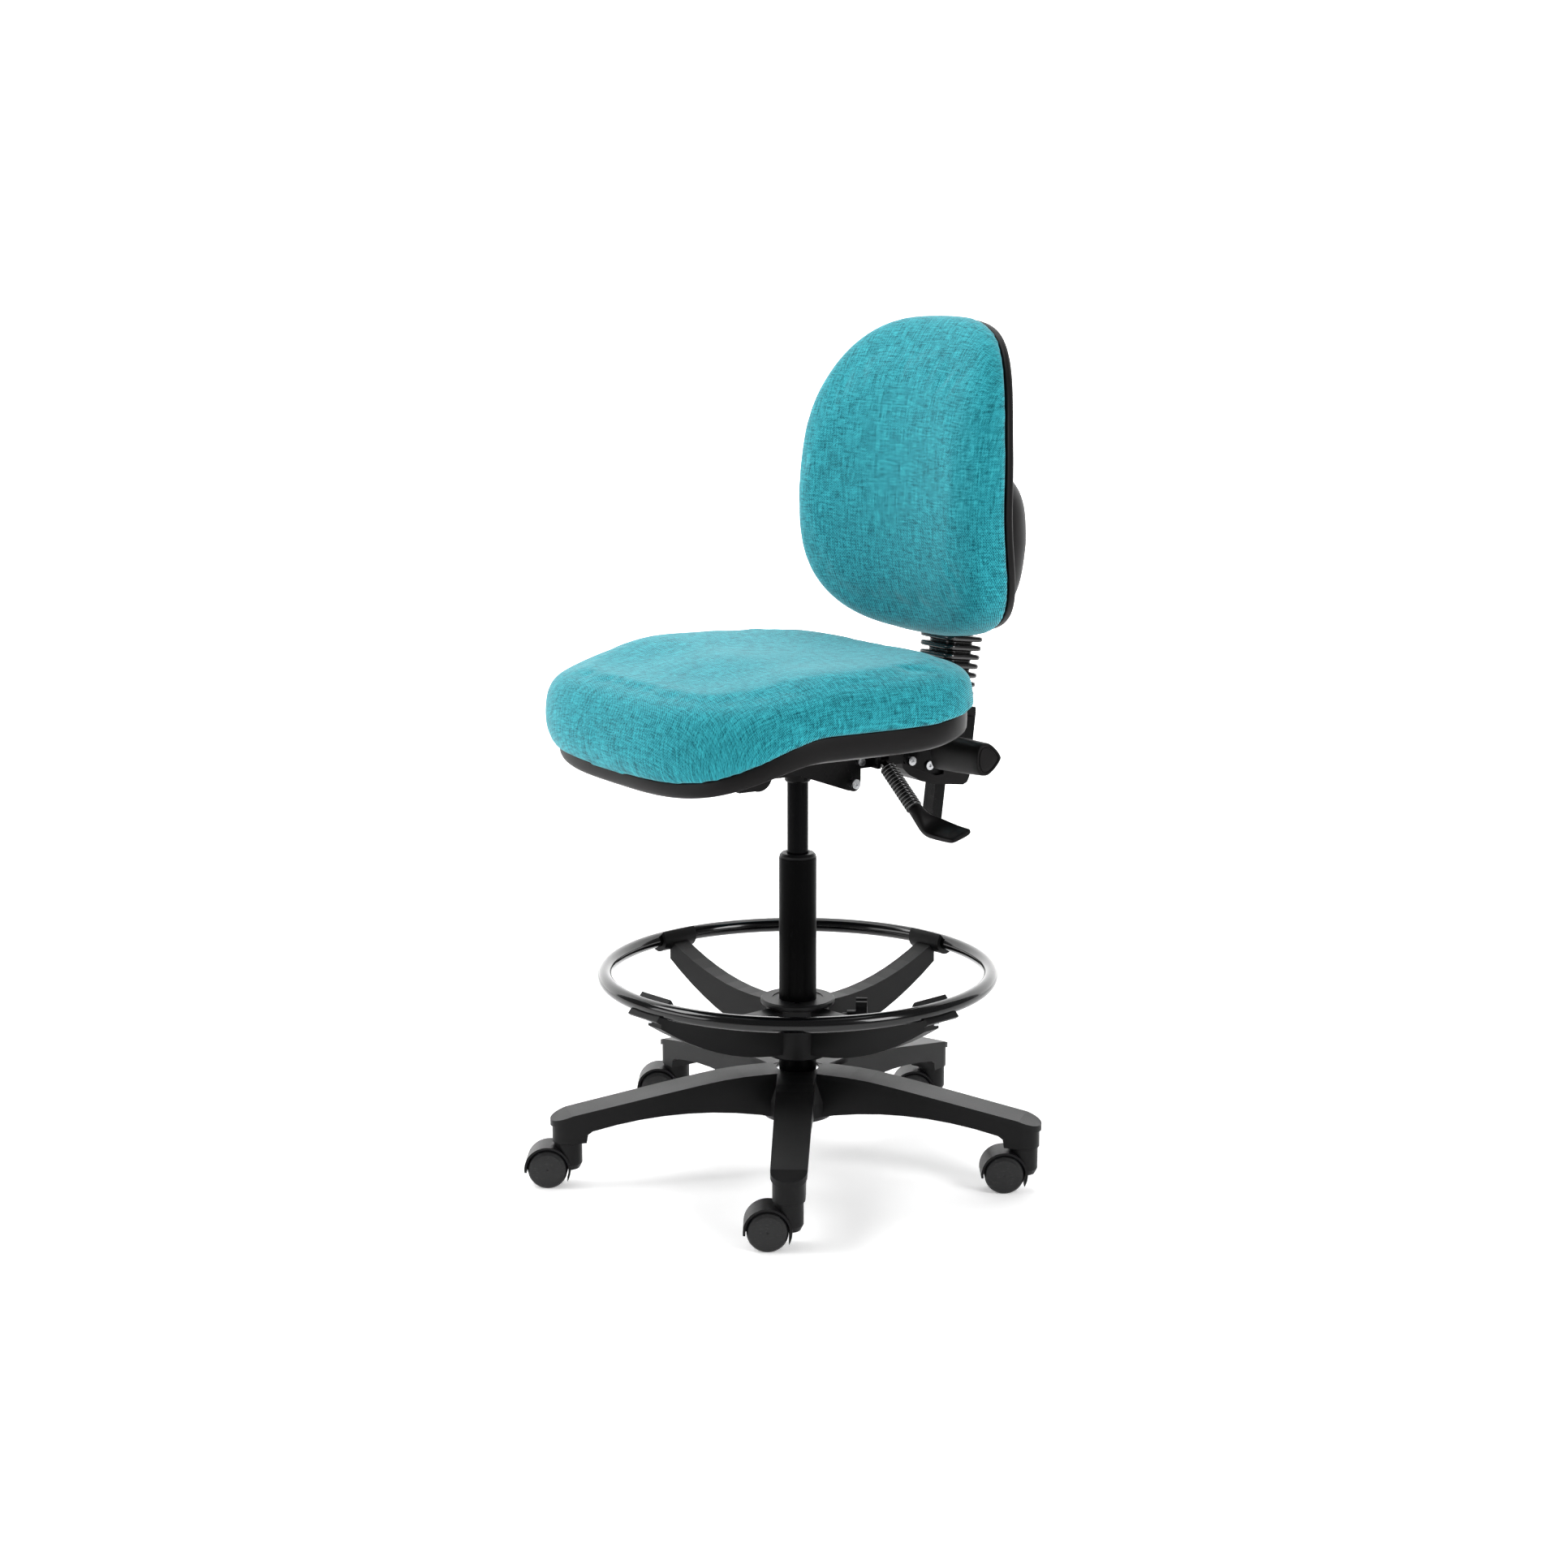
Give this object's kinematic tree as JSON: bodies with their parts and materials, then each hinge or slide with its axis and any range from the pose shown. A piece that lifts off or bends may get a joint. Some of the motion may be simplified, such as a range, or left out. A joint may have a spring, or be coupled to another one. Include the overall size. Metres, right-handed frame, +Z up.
{
  "type": "drafting chair",
  "caption": "Drafting chair with a star base on castors, a clamped foot ring, a gas lift, a contoured seat and a padded back on a tilting, height-adjustable bar.",
  "frame": {"origin": "on the floor, on the column's axis", "axes": "+Z up along the column; the sitter faces -Y; +X is the sitter's left, the side with the levers"},
  "size_m": [0.6439, 0.6888, 1.1281],
  "materials": {
    "base_plastic": "fine-textured black moulding",
    "steel": "bright zinc plate",
    "tube_black": "satin black powder coat",
    "ring_gloss": "gloss black paint",
    "cylinder_gloss": "smooth gloss black",
    "frame_black": "satin black powder coat",
    "shell_plastic": "textured charcoal moulding",
    "wheel_plastic": "satin black nylon",
    "soft_black": "glossy ribbed rubber",
    "plywood": "bare plywood",
    "teal_fabric": "heathered teal woven upholstery"
  },
  "bodies": {
    "base": {"star_base": "base_plastic", "hub_sleeve": "steel", "column_tube": "tube_black", "column_bush": "base_plastic", "thrust_bearing": "steel"},
    "castor_1": {"castor_1_stem": "steel", "castor_1_hood": "base_plastic"},
    "castor_1_wheel_pair": {"castor_1_wheels": "wheel_plastic", "castor_1_axle": "steel"},
    "castor_2": {"castor_2_stem": "steel", "castor_2_hood": "base_plastic"},
    "castor_2_wheel_pair": {"castor_2_wheels": "wheel_plastic", "castor_2_axle": "steel"},
    "castor_3": {"castor_3_stem": "steel", "castor_3_hood": "base_plastic"},
    "castor_3_wheel_pair": {"castor_3_wheels": "wheel_plastic", "castor_3_axle": "steel"},
    "castor_4": {"castor_4_stem": "steel", "castor_4_hood": "base_plastic"},
    "castor_4_wheel_pair": {"castor_4_wheels": "wheel_plastic", "castor_4_axle": "steel"},
    "castor_5": {"castor_5_stem": "steel", "castor_5_hood": "base_plastic"},
    "castor_5_wheel_pair": {"castor_5_wheels": "wheel_plastic", "castor_5_axle": "steel"},
    "foot_ring": {"ring_tube": "ring_gloss", "ring_spider": "base_plastic", "ring_bush": "base_plastic", "ring_screws": "steel"},
    "ring_clamp": {"ring_knob": "base_plastic", "ring_clamp_screw": "steel"},
    "spindle": {"piston_rod": "steel"},
    "seat": {"gas_cylinder": "cylinder_gloss", "mech_housing": "frame_black", "cone_socket": "frame_black", "mech_front_cover": "shell_plastic", "lug_bolts": "steel", "seat_shell": "shell_plastic", "seat_board": "plywood", "seat_cushion": "teal_fabric", "seat_bolts": "steel", "tilt_pin": "steel", "lever_boss": "frame_black"},
    "gas_lever": {"lever_rod": "frame_black", "lever_boot": "soft_black", "lever_paddle": "shell_plastic"},
    "release_button": {"release_pin": "steel"},
    "tilt_frame": {"tilt_bracket": "frame_black", "bar_guide": "shell_plastic", "bracket_cover": "shell_plastic", "bracket_bolts": "steel"},
    "tilt_lock": {"lock_shaft": "steel", "lock_handle": "shell_plastic"},
    "back": {"back_bar": "frame_black", "back_bracket": "steel", "back_shell": "shell_plastic", "bar_cover": "shell_plastic", "back_board": "plywood", "back_cushion": "teal_fabric", "bellows": "soft_black"}
  },
  "joints": [
    {"name": "castor_1_swivel", "type": "hinge", "parent": "base", "child": "castor_1", "pos_m": [0.25803, -0.18068, 0.06], "axis": [0, 0, 1], "continuous": true},
    {"name": "castor_1_roll", "type": "hinge", "parent": "castor_1", "child": "castor_1_wheel_pair", "pos_m": [0.24387, -0.20248, 0.026], "axis": [0.8387, -0.5446, 0], "continuous": true},
    {"name": "castor_2_swivel", "type": "hinge", "parent": "base", "child": "castor_2", "pos_m": [0.25157, 0.18957, 0.06], "axis": [0, 0, 1], "continuous": true},
    {"name": "castor_2_roll", "type": "hinge", "parent": "castor_2", "child": "castor_2_wheel_pair", "pos_m": [0.23741, 0.16777, 0.026], "axis": [0.8387, -0.5446, 0], "continuous": true},
    {"name": "castor_3_swivel", "type": "hinge", "parent": "base", "child": "castor_3", "pos_m": [-0.10255, 0.29784, 0.06], "axis": [0, 0, 1], "continuous": true},
    {"name": "castor_3_roll", "type": "hinge", "parent": "castor_3", "child": "castor_3_wheel_pair", "pos_m": [-0.11671, 0.27603, 0.026], "axis": [0.8387, -0.5446, 0], "continuous": true},
    {"name": "castor_4_swivel", "type": "hinge", "parent": "base", "child": "castor_4", "pos_m": [-0.31495, -0.0055, 0.06], "axis": [0, 0, 1], "continuous": true},
    {"name": "castor_4_roll", "type": "hinge", "parent": "castor_4", "child": "castor_4_wheel_pair", "pos_m": [-0.32911, -0.0273, 0.026], "axis": [0.8387, -0.5446, 0], "continuous": true},
    {"name": "castor_5_swivel", "type": "hinge", "parent": "base", "child": "castor_5", "pos_m": [-0.0921, -0.30124, 0.06], "axis": [0, 0, 1], "continuous": true},
    {"name": "castor_5_roll", "type": "hinge", "parent": "castor_5", "child": "castor_5_wheel_pair", "pos_m": [-0.10626, -0.32304, 0.026], "axis": [0.8387, -0.5446, 0], "continuous": true},
    {"name": "foot_ring_height", "type": "slide", "parent": "base", "child": "foot_ring", "axis": [0, 0, 1], "range_m": [-0.008, 0.08]},
    {"name": "ring_clamp_turn", "type": "hinge", "parent": "foot_ring", "child": "ring_clamp", "pos_m": [0.04015, 0.05734, 0.203], "axis": [0.5736, 0.8192, 0], "continuous": true},
    {"name": "seat_swivel", "type": "hinge", "parent": "base", "child": "spindle", "pos_m": [0, 0, 0.1], "axis": [0, 0, 1], "continuous": true},
    {"name": "seat_height", "type": "slide", "parent": "spindle", "child": "seat", "axis": [0, 0, 1], "range_m": [-0.085, 0.115]},
    {"name": "gas_lever_lift", "type": "hinge", "parent": "seat", "child": "gas_lever", "pos_m": [0.076, 0.084, 0.556], "axis": [0, -1, 0], "range_deg": [0, 8], "stiffness_Nm_per_rad": 4, "springref_deg": -2.86},
    {"name": "release_press", "type": "slide", "parent": "seat", "child": "release_button", "axis": [0, 0, -1], "range_m": [0, 0.003], "stiffness_N_per_m": 120, "springref_m": -0.001},
    {"name": "back_tilt", "type": "hinge", "parent": "seat", "child": "tilt_frame", "pos_m": [0, 0.112, 0.566], "axis": [-1, 0, 0], "range_deg": [-3, 18]},
    {"name": "tilt_lock_turn", "type": "hinge", "parent": "tilt_frame", "child": "tilt_lock", "pos_m": [0.1, 0.186, 0.5605], "axis": [1, 0, 0], "range_deg": [0, 25]},
    {"name": "back_height", "type": "slide", "parent": "tilt_frame", "child": "back", "axis": [0, 0.1219, 0.9925], "range_m": [-0.01, 0.06], "deforming": ["bellows"]}
  ],
  "couplings": [
    {"joint": "release_press", "follows": "gas_lever_lift", "m_per_rad": 0.0179}
  ]
}
